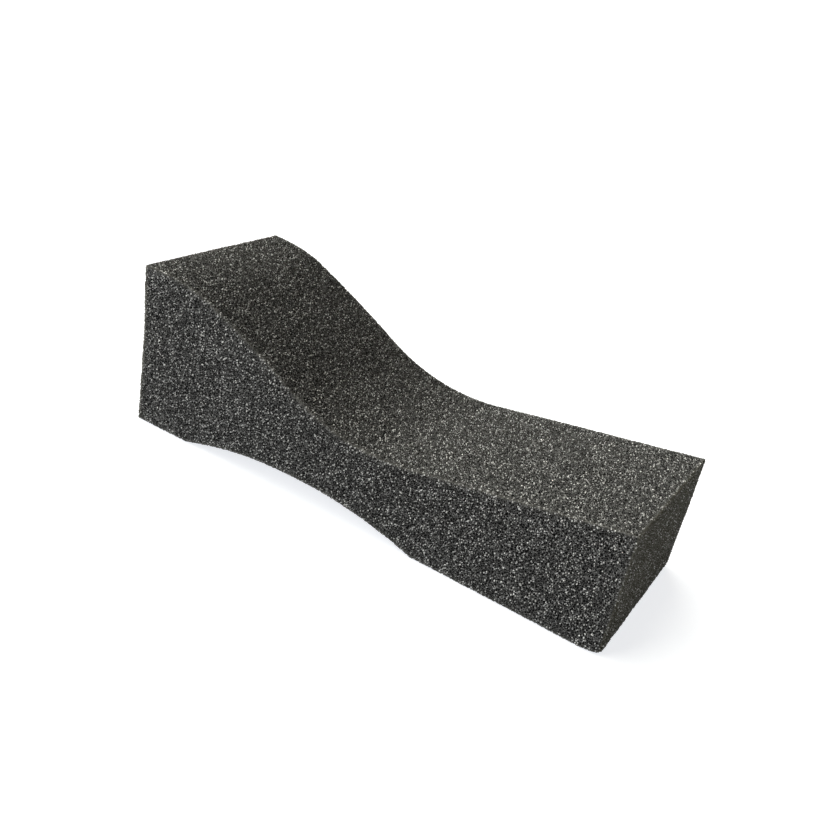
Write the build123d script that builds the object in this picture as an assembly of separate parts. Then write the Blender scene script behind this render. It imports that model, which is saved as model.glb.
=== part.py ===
from build123d import *
import os
from math import acos, atan2, cos, hypot, radians, sin, sqrt, tan

# A contour-cut block of charcoal open-cell foam, sawn from one slab by a profile wire.
# Sizes are millimetres. While it is drawn, x runs along the block from the foot of the tall
# end, y runs across the width from the front face, and z runs up from the flat base.

# Overall block
length = 280.0             # along the base, from the tall end's foot to the low end
width = 99.0               # between the two side faces
tall_end_height = 88.0     # upper surface over the tall end's foot
low_end_height = 65.2      # upper surface at the low end

# Land on top of the tall end
land_length = 34.5         # along x, up to the soft corner where the slope starts
land_drop = 3.6            # that corner is this much lower than the tall end
land_radius = 120.0        # slight crown

# Slope down to the waist, the waist, and the straight ramp behind it
slope_radius = 480.0       # slightly convex
waist_position = 146.0     # x of the lowest point of the upper surface
waist_height = 43.5        # of that point over the base
waist_radius = 109.0       # concave

# Underside
foot_length = 34.0         # flat foot under the tall end
arch_span = 144.0          # hollow between that foot and the long flat base
arch_rise = 11.3

# Saw cut of the tall end, a little out of square
tall_end_skew = 5.0        # degrees, seen from above
tall_end_lean = 2.2        # degrees, outwards at the top
saw_allowance = 15.0       # foam beyond the tall end, which the saw cut removes

# Worn edges round the bottom of the low end
worn_radius = 2.0


def meeting_point(start, start_radius, end, end_radius, side):
    """Point at start_radius from start and end_radius from end, left (1) or right (-1)."""
    run, rise = end[0] - start[0], end[1] - start[1]
    gap = hypot(run, rise)
    along = (start_radius ** 2 - end_radius ** 2 + gap ** 2) / (2 * gap)
    across = side * sqrt(start_radius ** 2 - along ** 2)
    return (start[0] + (along * run - across * rise) / gap,
            start[1] + (along * rise + across * run) / gap)


def towards(start, end, distance):
    """Point at the given distance from start, on the line towards end."""
    gap = hypot(end[0] - start[0], end[1] - start[1])
    return tuple(a + (b - a) * distance / gap for a, b in zip(start, end))


def tangent_point(centre, radius, outside):
    """Where the line from a point outside the circle, to its right, runs on below it."""
    run, rise = outside[0] - centre[0], outside[1] - centre[1]
    angle = atan2(rise, run) - acos(radius / hypot(run, rise))
    return (centre[0] + radius * cos(angle), centre[1] + radius * sin(angle))


def height_on_circle(x, centre, radius):
    """Height of the top of a circle over x."""
    return centre[1] + sqrt(radius ** 2 - (x - centre[0]) ** 2)


def upper_surface():
    """Ramp, waist, slope and land, drawn from the low end to beyond the tall end."""
    low_end_top = (length, low_end_height)
    tall_end_top = (0, tall_end_height)
    corner = (land_length, tall_end_height - land_drop)

    waist_centre = (waist_position, waist_height + waist_radius)
    waist_bottom = (waist_position, waist_height)
    ramp_start = tangent_point(waist_centre, waist_radius, low_end_top)

    # The slope's circle passes through the corner and touches the waist's from outside.
    reach = slope_radius + waist_radius
    slope_centre = meeting_point(corner, slope_radius, waist_centre, reach, -1)
    slope_end = towards(slope_centre, waist_centre, slope_radius)
    slope_middle_x = (corner[0] + slope_end[0]) / 2
    slope_middle = (slope_middle_x, height_on_circle(slope_middle_x, slope_centre, slope_radius))

    land_centre = meeting_point(tall_end_top, land_radius, corner, land_radius, -1)
    land_start = (-saw_allowance, height_on_circle(-saw_allowance, land_centre, land_radius))

    return [
        Line(low_end_top, ramp_start),
        ThreePointArc(ramp_start, waist_bottom, slope_end),
        ThreePointArc(slope_end, slope_middle, corner),
        ThreePointArc(corner, tall_end_top, land_start),
        Line(land_start, (-saw_allowance, 0)),
    ]


def underside():
    """Foot, arch and long flat base, drawn from beyond the tall end to the low end."""
    foot_end = (foot_length, 0)
    base_start = (foot_length + arch_span, 0)
    arch_crown = (foot_length + arch_span / 2, arch_rise)
    return [
        Line((-saw_allowance, 0), foot_end),
        ThreePointArc(foot_end, arch_crown, base_start),
        Line(base_start, (length, 0)),
        Line((length, 0), (length, low_end_height)),
    ]


def foam_block():
    """The whole block, with its origin in the middle of its footprint, on the base plane."""
    profile = Plane.XZ * make_face(underside() + upper_surface())
    block = extrude(profile, amount=width, dir=(0, 1, 0))

    # Saw cut through the foot's front edge, keeping the side towards the low end.
    inwards = (1, -tan(radians(tall_end_skew)), tan(radians(tall_end_lean)))
    block = split(block, bisect_by=Plane((0, 0, 0), z_dir=inwards), keep=Keep.TOP)

    low_end = block.faces().sort_by(Axis.X)[-1]
    worn_edges = low_end.edges().sort_by(Axis.Z)[:-1]
    block = fillet(worn_edges, worn_radius)

    box = block.bounding_box()
    return block.moved(Location((-box.center().X, -box.center().Y, -box.min.Z)))


os.makedirs("parts", exist_ok=True)
block = foam_block()
box = block.bounding_box()
print("box", box.min, box.max, "volume", block.volume)
export_step(block, "parts/foam_block.step")
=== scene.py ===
from math import cos, radians, sin

import bpy
import numpy as np
from mathutils import Euler, Matrix, Vector


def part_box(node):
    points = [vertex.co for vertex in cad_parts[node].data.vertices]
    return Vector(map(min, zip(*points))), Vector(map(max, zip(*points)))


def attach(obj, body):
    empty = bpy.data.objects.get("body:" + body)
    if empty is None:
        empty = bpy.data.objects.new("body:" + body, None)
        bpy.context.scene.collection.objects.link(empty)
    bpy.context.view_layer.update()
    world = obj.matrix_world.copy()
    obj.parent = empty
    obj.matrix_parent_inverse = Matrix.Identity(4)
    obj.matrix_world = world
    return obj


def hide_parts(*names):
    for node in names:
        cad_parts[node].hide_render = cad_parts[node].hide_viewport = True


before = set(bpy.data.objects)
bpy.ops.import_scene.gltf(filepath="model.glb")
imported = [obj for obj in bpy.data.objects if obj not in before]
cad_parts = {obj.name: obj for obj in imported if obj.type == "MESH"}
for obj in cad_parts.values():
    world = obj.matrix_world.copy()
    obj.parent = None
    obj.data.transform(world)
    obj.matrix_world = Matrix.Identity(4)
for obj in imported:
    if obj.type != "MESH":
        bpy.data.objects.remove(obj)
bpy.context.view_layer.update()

# The block is one piece of open-cell foam. All sizes are in metres, in the frame's axes: x along
# the block from the tall end to the low end, y across its width, z up from the flat base.
LOW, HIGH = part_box("foam_block")

# Cut foam
CELL = 0.0012              # size of the foam's cells
STRUT = 0.00011            # half the width of the struts between them
PORE_DEPTH = 0.0007        # how far a cut cell opens below the struts
PORE_EDGE = 0.22           # how far from a strut a pore is full depth, as a share of a cell
PORE_UNEVEN = 0.25         # how much that depth varies, as a share of it
PORE_PATCH = 0.003         # size of the patches over which it varies
PROUD = 0.00025            # how far the struts stand out of the mean cut face
FUZZ = 0.00013             # loose strut ends
WAVE = 0.00025             # how far the cut faces wander from flat
WAVE_LENGTH = 0.035
GRID = 0.0004              # spacing of the mesh's points on the cut faces
JITTER = 0.7               # how much of that spacing each point may shift, so that no rows show
MEAN_HEIGHT = 0.7          # the block's, as a share of its greatest height

# Edges
EDGE_RADIUS = 0.0010       # rounding of the cut edges
EDGE_UNEVEN = 0.2          # how much that rounding varies, as a share of it
EDGE_PATCH = 0.009         # size of the patches over which it varies
EDGE_FILL = 0.4            # how much shallower the pores are along the edges
EDGE_WIDTH = 0.0009        # how far in from an edge its struts show light through
WORN_RADIUS = 0.0040       # rounding round the bottom of the low end
WORN_LENGTH = 0.012        # how far along the block it fades out
WORN_HEIGHT = 0.040        # how far up the low end it fades out
FRINGE_WIDTH = 0.0007      # how far beside the tall end loose struts catch the light
FRINGE_START = 0.0003      # how far from the tall end they begin

# Hand sawing, a little out of square
END_BOW = 0.0009           # how far the saw wandered down the tall end
BOW_TURN = (0.5, 0.9)      # shares of the height between which it wandered back
TOP_RISE = 0.0009          # how much prouder the tall end's top is along the back
TALL_NEAR = 0.015          # how far from the tall end both are still whole
TALL_FAR = 0.070           # how far from it both have faded out
FOOT_SPREAD = 0.0020       # how far the foot of the front face stands out at the low end
FOOT_HEIGHT = 2 / 3        # share of the height over which that spread fades out
FOOT_SHARE = 0.3           # share of it that the rest of the front face has
LOW_REACH = 0.090          # how far from the low end it starts to grow from that share

# The cells' grid lies at an angle to the block, so that no cut face shows its layers
CELL_TILT = np.array(Euler((0.6, 0.45, 0.8)).to_matrix())
SEED = 7


# ---------------------------------------------------------------------------------------------
# Random fields in space, the same on every run
# ---------------------------------------------------------------------------------------------

LATTICE = 64
random_table = np.random.default_rng(SEED).random((LATTICE, LATTICE, LATTICE, 3))[..., 0]
NOISE_OFFSET = 1000.0      # keeps the table's places positive


def soft_noise(points, size):
    """Smooth noise from 0 to 1 that changes over the given size."""
    place = points / size + NOISE_OFFSET
    corner = np.floor(place).astype(int)
    part = place - corner
    part = part * part * (3 - 2 * part)
    total = np.zeros(len(points))
    for step in np.ndindex(2, 2, 2):
        weight = np.prod(np.where(np.array(step) == 1, part, 1 - part), axis=1)
        i, j, k = ((corner + step) % LATTICE).T
        total += weight * random_table[i, j, k]
    return total


def patchy(points, size, amount):
    """A factor that strays from 1 by up to the given amount, in patches of the given size."""
    return 1 + amount * (2 * soft_noise(points, size) - 1)


def smooth_step(low, high, value):
    """0 below low, 1 above high, smooth between; low may be the larger."""
    t = np.clip((value - low) / (high - low), 0, 1)
    return t * t * (3 - 2 * t)


# ---------------------------------------------------------------------------------------------
# The block's shape, read from its CAD solid
# ---------------------------------------------------------------------------------------------

def solid_points():
    """The corners of the CAD solid's mesh."""
    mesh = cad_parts["foam_block"].data
    co = np.empty(len(mesh.vertices) * 3, np.float32)
    mesh.vertices.foreach_get("co", co)
    return co.reshape(-1, 3).astype(float)


SOLID = solid_points()
TOUCH = GRID / 5           # a point this near a face lies on it


def outline(points):
    """Distinct x of the points of one surface, in order along the block, and their z."""
    xs, first = np.unique(np.round(points[:, 0], 6), return_index=True)
    return xs, points[first, 2]


def surfaces():
    """Outlines of the upper and the lower surface, told apart by a height between them."""
    between = (LOW.z + HIGH.z) / 3
    upper = SOLID[SOLID[:, 2] > between]
    worn = (SOLID[:, 0] > HIGH.x - 2 * WORN_RADIUS) & (SOLID[:, 2] > LOW.z)
    lower = SOLID[(SOLID[:, 2] < between) & ~worn]
    return outline(upper), outline(lower)


UPPER, LOWER = surfaces()


def tall_end_plane():
    """The tall end's saw cut as start, skew and lean: x = start + skew * (y - front) + lean * z."""
    front = SOLID[SOLID[:, 1] < LOW.y + TOUCH]
    back = SOLID[SOLID[:, 1] > HIGH.y - TOUCH]
    front_foot = front[front[:, 2] < TOUCH, 0].min()
    back_foot = back[back[:, 2] < TOUCH, 0].min()
    front_top = front[front[:, 0].argmin()]
    skew = (back_foot - front_foot) / (HIGH.y - LOW.y)
    return front_foot, skew, (front_top[0] - front_foot) / front_top[2]


END_START, END_SKEW, END_LEAN = tall_end_plane()


def tall_end_x(y, z):
    return END_START + END_SKEW * (y - LOW.y) + END_LEAN * z


# ---------------------------------------------------------------------------------------------
# The foam's mesh: a closed shell of six cut faces that share their edges
# ---------------------------------------------------------------------------------------------

# How many quads the shell has along the block, across it and up it
STEPS = (
    round((HIGH.x - LOW.x) / GRID),
    round((HIGH.y - LOW.y) / GRID),
    round((HIGH.z - LOW.z) * MEAN_HEIGHT / GRID),
)


def shell_faces():
    """For each of the six faces, its axis, side, and four lattice corners per quad, turned to
    face outwards."""
    faces = []
    for axis in range(3):
        a, b = [n for n in range(3) if n != axis]
        ia, ib = np.meshgrid(np.arange(STEPS[a]), np.arange(STEPS[b]), indexing="ij")
        for side in (0, STEPS[axis]):
            corners = []
            for da, db in ((0, 0), (1, 0), (1, 1), (0, 1)):
                place = np.empty((ia.size, 3), int)
                place[:, axis] = side
                place[:, a] = ia.ravel() + da
                place[:, b] = ib.ravel() + db
                corners.append(place)
            quads = np.stack(corners, axis=1)
            outwards = (side > 0) != (axis == 1)
            faces.append((axis, side, quads if outwards else quads[:, ::-1]))
    return faces


def lattice_positions(place):
    """Where the lattice's points lie on the sharp-edged block."""
    share = place / np.array(STEPS)
    y = LOW.y + (HIGH.y - LOW.y) * share[:, 1]
    x_mid = END_START + (HIGH.x - END_START) * share[:, 0]
    foot = np.interp(x_mid, *LOWER)
    head = np.interp(x_mid, *UPPER)
    z = foot + (head - foot) * share[:, 2]
    out_of_square = tall_end_x(y, z) - END_START
    x = x_mid + out_of_square * (1 - share[:, 0]) ** 4
    foot = np.interp(x, *LOWER)
    head = np.interp(x, *UPPER)
    return np.stack([x, y, foot + (head - foot) * share[:, 2]], axis=1)


def face_directions(x):
    """Outward direction of the block's six faces beside each point."""
    step = GRID
    rise = (np.interp(x + step, *UPPER) - np.interp(x - step, *UPPER)) / (2 * step)
    fall = (np.interp(x + step, *LOWER) - np.interp(x - step, *LOWER)) / (2 * step)
    one, none = np.ones_like(x), np.zeros_like(x)
    directions = [
        (-one, END_SKEW * one, END_LEAN * one),
        (one, none, none),
        (none, -one, none),
        (none, one, none),
        (fall, none, -one),
        (-rise, none, one),
    ]
    stacked = np.stack([np.stack(d, axis=1) for d in directions])
    return stacked / np.linalg.norm(stacked, axis=2, keepdims=True)


def rounded(points):
    """Rounds the block's edges. Gives the new points, their outward direction, and masks from
    0 to 1: near an edge, beside the tall end, on the low end, and on the tall end."""
    x, y, z = points.T
    out = face_directions(x)
    foot, head = np.interp(x, *LOWER), np.interp(x, *UPPER)
    gaps = np.stack([
        (x - tall_end_x(y, z)) * -out[0, :, 0],
        HIGH.x - x,
        y - LOW.y,
        HIGH.y - y,
        (z - foot) * -out[4, :, 2],
        (head - z) * out[5, :, 2],
    ])
    worn = smooth_step(HIGH.x - WORN_LENGTH, HIGH.x, x) * smooth_step(WORN_HEIGHT, 0, z)
    radius = EDGE_RADIUS + (WORN_RADIUS - EDGE_RADIUS) * worn
    radius = radius * patchy(points, EDGE_PATCH, EDGE_UNEVEN)
    inset = np.maximum(radius - gaps, 0)
    towards = np.einsum("fn,fnk->nk", inset, out)
    reach = np.linalg.norm(towards, axis=1)
    outward = towards / reach[:, None]
    moved = points - towards + outward * radius[:, None]
    second_gap = np.sort(gaps, axis=0)[1]
    masks = {
        "edge": np.exp(-second_gap / EDGE_WIDTH),
        "fringe_light": np.exp(-gaps[0] / FRINGE_WIDTH) * (1 - np.exp(-gaps[0] / FRINGE_START)),
        "low_end": smooth_step(EDGE_WIDTH, 0, gaps[1]),
        "tall_end": smooth_step(EDGE_WIDTH, 0, gaps[0]),
    }
    return moved, outward, masks


def off_square(points):
    """How far each point lies off the true block, as hand sawing left it."""
    x, y, z = points.T
    back = (y - LOW.y) / (HIGH.y - LOW.y)
    height = z / HIGH.z
    at_tall_end = smooth_step(LOW.x + TALL_FAR, LOW.x + TALL_NEAR, x)
    at_low_end = smooth_step(HIGH.x - LOW_REACH, HIGH.x, x)
    bow = END_BOW * (1 - 2 * smooth_step(*BOW_TURN, height)) * at_tall_end
    rise = TOP_RISE * back * height * at_tall_end
    foot = np.maximum(1 - height / FOOT_HEIGHT, 0)
    spread = FOOT_SPREAD * (1 - back) * foot * (FOOT_SHARE + (1 - FOOT_SHARE) * at_low_end)
    return np.stack([bow + spread / 2 * at_low_end, -spread, rise], axis=1)


def jittered(corners):
    """Shifts the lattice's corners at random within the block's faces and edges."""
    spots = corners.astype(float)
    inside = (spots > 0) & (spots < STEPS)
    shift = np.random.default_rng(SEED + 2).random(spots.shape) - 0.5
    return spots + shift * JITTER * inside


def foam_block():
    """The block's object: the rounded shell with its cut cells, fuzz and sawing marks."""
    faces = shell_faces()
    corners = np.concatenate([quads.reshape(-1, 3) for _, _, quads in faces])
    strides = np.array([(STEPS[1] + 1) * (STEPS[2] + 1), STEPS[2] + 1, 1])
    _, first, corner_vertex = np.unique(corners @ strides, return_index=True, return_inverse=True)
    points, outward, masks = rounded(lattice_positions(jittered(corners[first])))

    mesh = shell_mesh(points, corner_vertex)
    for name, mask in masks.items():
        store(mesh, name, mask)
    store(mesh, "rest", points @ CELL_TILT.T)
    lay_out_faces(mesh, faces)
    mesh.update(calc_edges=True)
    mesh.validate()
    block = bpy.data.objects.new("foam_block_cut", mesh)
    bpy.context.scene.collection.objects.link(block)

    pore = smooth_step(STRUT, CELL * PORE_EDGE, cell_gaps(block)) * (1 - EDGE_FILL * masks["edge"])
    pore = pore * patchy(points, PORE_PATCH, PORE_UNEVEN)
    fuzz = np.random.default_rng(SEED + 1).normal(size=len(points)) * FUZZ
    wave = (patchy(points, WAVE_LENGTH, 1) - 1) * WAVE
    moved = points + off_square(points)
    moved += outward * (PROUD + fuzz + wave - pore * PORE_DEPTH)[:, None]
    moved[:, 2] = np.maximum(moved[:, 2], LOW.z)
    mesh.vertices.foreach_set("co", moved.astype(np.float32).ravel())
    mesh.update()
    return block


def shell_mesh(points, corner_vertex):
    """Mesh of quads, from its points and the point at each quad's four corners."""
    mesh = bpy.data.meshes.new("foam_block_cut")
    mesh.vertices.add(len(points))
    mesh.vertices.foreach_set("co", points.astype(np.float32).ravel())
    mesh.loops.add(len(corner_vertex))
    mesh.loops.foreach_set("vertex_index", corner_vertex.astype(np.int32).ravel())
    count = len(corner_vertex) // 4
    mesh.polygons.add(count)
    mesh.polygons.foreach_set("loop_start", np.arange(0, 4 * count, 4, dtype=np.int32))
    mesh.polygons.foreach_set("use_smooth", np.ones(count, bool))
    return mesh


def store(mesh, name, values):
    """Keeps one number or one vector per mesh point, for the material to read."""
    vector = values.ndim == 2
    layer = mesh.attributes.new(name, "FLOAT_VECTOR" if vector else "FLOAT", "POINT")
    field = "vector" if vector else "value"
    layer.data.foreach_set(field, values.astype(np.float32).ravel())


def cell_gaps(block):
    """Distance from each mesh point to the nearest strut between two cells, measured with the
    same cell pattern that the foam's material draws."""
    tree = bpy.data.node_groups.new("cell_pattern", "GeometryNodeTree")
    for way in ("INPUT", "OUTPUT"):
        tree.interface.new_socket("Geometry", in_out=way, socket_type="NodeSocketGeometry")
    start = add(tree, "NodeGroupInput")
    place = add(tree, "GeometryNodeInputNamedAttribute", {"Name": "rest"},
                data_type="FLOAT_VECTOR").outputs[0]
    pattern = add(tree, "ShaderNodeTexVoronoi", {"Vector": place, "Scale": 1 / CELL},
                  feature="DISTANCE_TO_EDGE")
    keep = add(tree, "GeometryNodeStoreNamedAttribute",
               {"Geometry": start.outputs[0], "Name": "gap", "Value": pattern.outputs["Distance"]})
    end = add(tree, "NodeGroupOutput")
    tree.links.new(keep.outputs[0], end.inputs[0])
    modifier = block.modifiers.new("cell_pattern", "NODES")
    modifier.node_group = tree
    measured = block.evaluated_get(bpy.context.evaluated_depsgraph_get()).data
    gap = np.empty(len(measured.vertices), np.float32)
    measured.attributes["gap"].data.foreach_get("value", gap)
    block.modifiers.remove(modifier)
    bpy.data.node_groups.remove(tree)
    return gap.astype(float) * CELL


def run_length(outline_points, x):
    """Length along an outline, from the tall end to each x."""
    xs = np.linspace(LOW.x, HIGH.x, 2000)
    zs = np.interp(xs, *outline_points)
    length = np.concatenate([[0], np.cumsum(np.hypot(np.diff(xs), np.diff(zs)))])
    return np.interp(x, xs, length)


def lay_out_faces(mesh, faces):
    """Lays the six cut faces side by side on one flat sheet, all at the same scale."""
    gap = 0.004
    length = run_length(UPPER, HIGH.x)
    width, height = HIGH.y - LOW.y, HIGH.z - LOW.z
    rows = np.cumsum([0, width + gap, width + gap, height + gap])
    sheet = max(length + gap + width, rows[-1] + height) + 2 * gap
    spots = {
        (2, 1): (0, rows[0]), (2, 0): (0, rows[1]),
        (1, 0): (0, rows[2]), (1, 1): (0, rows[3]),
        (0, 0): (length + gap, rows[0]), (0, 1): (length + gap, rows[1]),
    }
    layout = []
    for axis, side, quads in faces:
        x, y, z = lattice_positions(quads.reshape(-1, 3)).T
        if axis == 2:
            flat = (run_length(UPPER if side else LOWER, x), y - LOW.y)
        elif axis == 1:
            flat = (x - LOW.x, z - LOW.z)
        else:
            flat = (y - LOW.y, z - LOW.z)
        spot = spots[axis, int(side > 0)]
        layout.append(np.stack([flat[0] + spot[0] + gap, flat[1] + spot[1] + gap], axis=1) / sheet)
    layer = mesh.uv_layers.new(name="OFBake")
    layer.uv.foreach_set("vector", np.concatenate(layout).astype(np.float32).ravel())


# ---------------------------------------------------------------------------------------------
# Materials
# ---------------------------------------------------------------------------------------------

def new_material(name):
    """A material, its node tree and its shader."""
    material = bpy.data.materials.new(name)
    material.use_nodes = True
    tree = material.node_tree
    return material, tree, tree.nodes["Principled BSDF"]


def add(tree, kind, inputs=(), **settings):
    """Adds a node, sets its properties, and fills or links its inputs by name or number."""
    node = tree.nodes.new(kind)
    for name, value in settings.items():
        setattr(node, name, value)
    for name, value in dict(inputs).items():
        if isinstance(value, bpy.types.NodeSocket):
            tree.links.new(value, node.inputs[name])
        else:
            node.inputs[name].default_value = value
    return node


def stored(tree, name):
    """Reads a number that the mesh keeps at each point."""
    return add(tree, "ShaderNodeAttribute", attribute_name=name).outputs["Fac"]


def maths(tree, operation, *values):
    node = add(tree, "ShaderNodeMath", dict(enumerate(values)), operation=operation)
    return node.outputs[0]


def ramped(tree, value, low, high):
    """0 below low, 1 above high, smooth between; low may be the larger."""
    inputs = {"Value": value, "From Min": low, "From Max": high}
    return add(tree, "ShaderNodeMapRange", inputs, interpolation_type="SMOOTHSTEP").outputs[0]


def blended(tree, share, first, second):
    """Mixes two colours."""
    inputs = {0: share, 6: first, 7: second}
    return add(tree, "ShaderNodeMix", inputs, data_type="RGBA").outputs[2]


def struts(tree, place, cell, half_width):
    """Mask of the struts of a cell pattern."""
    pattern = add(tree, "ShaderNodeTexVoronoi", {"Vector": place, "Scale": 1 / cell},
                  feature="DISTANCE_TO_EDGE")
    return ramped(tree, pattern.outputs["Distance"], half_width / cell, 0.25 * half_width / cell)


def specks(tree, place, spacing, radius, rarity):
    """Mask of dots of random strength; the greater the rarity, the fewer are strong."""
    pattern = add(tree, "ShaderNodeTexVoronoi", {"Vector": place, "Scale": 1 / spacing})
    pick = add(tree, "ShaderNodeSeparateColor", {"Color": pattern.outputs["Color"]})
    strength = maths(tree, "POWER", pick.outputs[0], rarity)
    dot = ramped(tree, pattern.outputs["Distance"], radius / spacing, 0.5 * radius / spacing)
    return maths(tree, "MULTIPLY", strength, dot)


def patches(tree, place, size, low, high):
    """Mask of patches of the given size, from 0 where noise is under low to 1 where over high."""
    noise = add(tree, "ShaderNodeTexNoise", {"Vector": place, "Scale": 1 / size})
    return ramped(tree, noise.outputs["Fac"], low, high)


# Painted shade: the pores are near black, standing in for the shade deep inside the open cells
PORE_SHADE_TONE = (0.004, 0.0042, 0.0045, 1)
STRUT_TONE = (0.116, 0.116, 0.116, 1)
# Painted light: lighter struts along the cut edges, standing in for light that comes through them
EDGE_LIGHT_TONE = (0.15, 0.147, 0.136, 1)
# Painted light: loose strut ends beside the tall end, standing in for light that comes through them
FRINGE_LIGHT_TONE = (0.42, 0.40, 0.34, 1)
# Painted highlight: the white of the glints
GLINT_TONE = (0.98, 0.98, 0.97, 1)
# Painted light: the low end's yellow tint, standing in for the warm light that falls on it
LOW_END_LIGHT_TONE = (0.083, 0.077, 0.045, 1)
TALL_END_DARK_TONE = (0.022, 0.022, 0.021, 1)

# Spacing, radius and rarity of the painted glints, bright specks standing in for light off broken
# struts and scraps of cell wall
BROKEN_STRUT_GLINTS = (0.0008, 0.00036, 4.0)
CELL_WALL_GLINTS = (0.0014, 0.00048, 3.8)
CLEAR_GLINTS = (0.0021, 0.00040, 1.3)

# Size, low and high of the patches in which the painted light along the edges and on the loose
# struts shows
EDGE_LIGHT_PATCHES = (0.004, 0.1, 0.6)
FRINGE_LIGHT_PATCHES = (0.0007, 0.4, 0.65)

# How far these tones cover what is under them
EDGE_LIGHT_SHARE = 0.8
LOW_END_LIGHT_SHARE = 0.35
TALL_END_DARK_SHARE = 0.5


def charcoal_foam():
    """Near-black pores between grey struts, their darkness painted shade, with painted glints,
    painted light along the edges, beside the tall end and at the low end, and a darker tone on the
    tall end.
    """
    material, tree, shader = new_material("charcoal_foam")
    place = add(tree, "ShaderNodeAttribute", attribute_name="rest").outputs["Vector"]
    # Painted shade: the pores are near black, standing in for the shade deep inside the open cells
    colour = blended(tree, struts(tree, place, CELL, STRUT), PORE_SHADE_TONE, STRUT_TONE)

    # Painted light: along the cut edges the struts are coloured lighter and the pores show less,
    # standing in for light that comes through the struts
    painted_rim_light = maths(tree, "MULTIPLY", stored(tree, "edge"), patches(tree, place, *EDGE_LIGHT_PATCHES))
    colour = blended(tree, maths(tree, "MULTIPLY", painted_rim_light, EDGE_LIGHT_SHARE), colour, EDGE_LIGHT_TONE)

    # Painted light: loose strut ends beside the tall end are coloured light, standing in for light
    # that comes through them
    painted_fringe_light = maths(tree, "MULTIPLY", stored(tree, "fringe_light"), patches(tree, place, *FRINGE_LIGHT_PATCHES))
    colour = blended(tree, painted_fringe_light, colour, FRINGE_LIGHT_TONE)

    # Painted highlights: bright specks standing in for light that broken struts and scraps of cell
    # wall reflect
    glint = maths(tree, "MAXIMUM", specks(tree, place, *BROKEN_STRUT_GLINTS),
                  specks(tree, place, *CELL_WALL_GLINTS))
    glint = maths(tree, "MAXIMUM", glint, specks(tree, place, *CLEAR_GLINTS))
    colour = blended(tree, glint, colour, GLINT_TONE)

    # Painted light: the low end is tinted yellow and its pores show less, standing in for the warm
    # light that falls on that end
    painted_warm_light = maths(tree, "MULTIPLY", stored(tree, "low_end"), LOW_END_LIGHT_SHARE)
    colour = blended(tree, painted_warm_light, colour, LOW_END_LIGHT_TONE)

    # The tall end is coloured darker
    tall_end_darkening = maths(tree, "MULTIPLY", stored(tree, "tall_end"), TALL_END_DARK_SHARE)
    colour = blended(tree, tall_end_darkening, colour, TALL_END_DARK_TONE)

    tree.links.new(colour, shader.inputs["Base Color"])
    shader.inputs["Roughness"].default_value = 0.8
    shader.inputs["Specular IOR Level"].default_value = 0.05
    return material


def pale_floor():
    """Matt white that glows a little, so that shadows on it stay faint."""
    material, _, shader = new_material("pale_floor")
    shader.inputs["Base Color"].default_value = (0.5, 0.5, 0.5, 1)
    shader.inputs["Emission Color"].default_value = (0.94, 0.96, 1, 1)
    shader.inputs["Emission Strength"].default_value = 0.80
    shader.inputs["Roughness"].default_value = 0.9
    shader.inputs["Specular IOR Level"].default_value = 0.1
    return material


# ---------------------------------------------------------------------------------------------
# Studio: floor, light, camera
# ---------------------------------------------------------------------------------------------

FLOOR_HALF = 12.0
FLOOR_CLEARANCE = 0.0003   # keeps the floor just under the block's base
SKY_LIGHT = 0.05           # the white surroundings light the block this much


def direction(azimuth, elevation):
    """Unit vector towards a place seen from the block: azimuth 0 is its front, 90 its low end."""
    a, e = radians(azimuth), radians(elevation)
    return Vector((sin(a) * cos(e), -cos(a) * cos(e), sin(e)))


def soft_light(name, azimuth, elevation, spread, strength, colour):
    """A large far-off lamp. Spread is its apparent width in degrees."""
    light = bpy.data.lights.new(name, "SUN")
    light.angle = radians(spread)
    light.energy = strength
    light.color = colour
    lamp = bpy.data.objects.new(name, light)
    lamp.rotation_euler = direction(azimuth, elevation).to_track_quat("Z", "Y").to_euler()
    bpy.context.scene.collection.objects.link(lamp)


def lay_floor():
    x = y = FLOOR_HALF
    mesh = bpy.data.meshes.new("floor")
    mesh.from_pydata([(-x, -y, 0), (x, -y, 0), (x, y, 0), (-x, y, 0)], [], [(0, 1, 2, 3)])
    mesh.materials.append(pale_floor())
    floor = bpy.data.objects.new("floor", mesh)
    floor.location.z = LOW.z - FLOOR_CLEARANCE
    bpy.context.scene.collection.objects.link(floor)


def surroundings():
    """White to the eye, but only a weak light on the block."""
    world = bpy.data.worlds.new("studio")
    bpy.context.scene.world = world
    world.use_nodes = True
    tree = world.node_tree
    background = tree.nodes["Background"]
    background.inputs["Color"].default_value = (1, 1, 1, 1)
    seen = add(tree, "ShaderNodeLightPath").outputs["Is Camera Ray"]
    tree.links.new(maths(tree, "MAXIMUM", seen, SKY_LIGHT), background.inputs["Strength"])


def studio():
    lay_floor()
    surroundings()
    soft_light("key", -90, 28, 110, 6.4, (1.0, 1.0, 0.93))
    soft_light("back", 180, 40, 50, 0.5, (1.0, 0.85, 0.5))
    bpy.context.scene.view_settings.view_transform = "Standard"


def camera():
    """The viewing angle: from the front and a little towards the low end, tipped to one side."""
    azimuth, elevation, tip = 24.55, 27.04, radians(12.98)
    target = Vector((0.0042, 0.0034, 0.0426))
    distance = 0.5745
    back = direction(azimuth, elevation)
    level_right = Vector((cos(radians(azimuth)), sin(radians(azimuth)), 0))
    level_up = back.cross(level_right)
    right = level_right * cos(tip) + level_up * sin(tip)
    up = level_up * cos(tip) - level_right * sin(tip)
    place = Matrix((right, up, back)).transposed().to_4x4()
    place.translation = target + back * distance
    data = bpy.data.cameras.new("camera")
    data.lens = 47.08
    data.sensor_width = 36.0
    data.clip_start = 0.01
    data.clip_end = 60.0
    viewer = bpy.data.objects.new("camera", data)
    viewer.matrix_world = place
    bpy.context.scene.collection.objects.link(viewer)
    bpy.context.scene.camera = viewer


camera()
studio()
block = foam_block()
block.data.materials.append(charcoal_foam())
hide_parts("foam_block")
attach(block, "root")
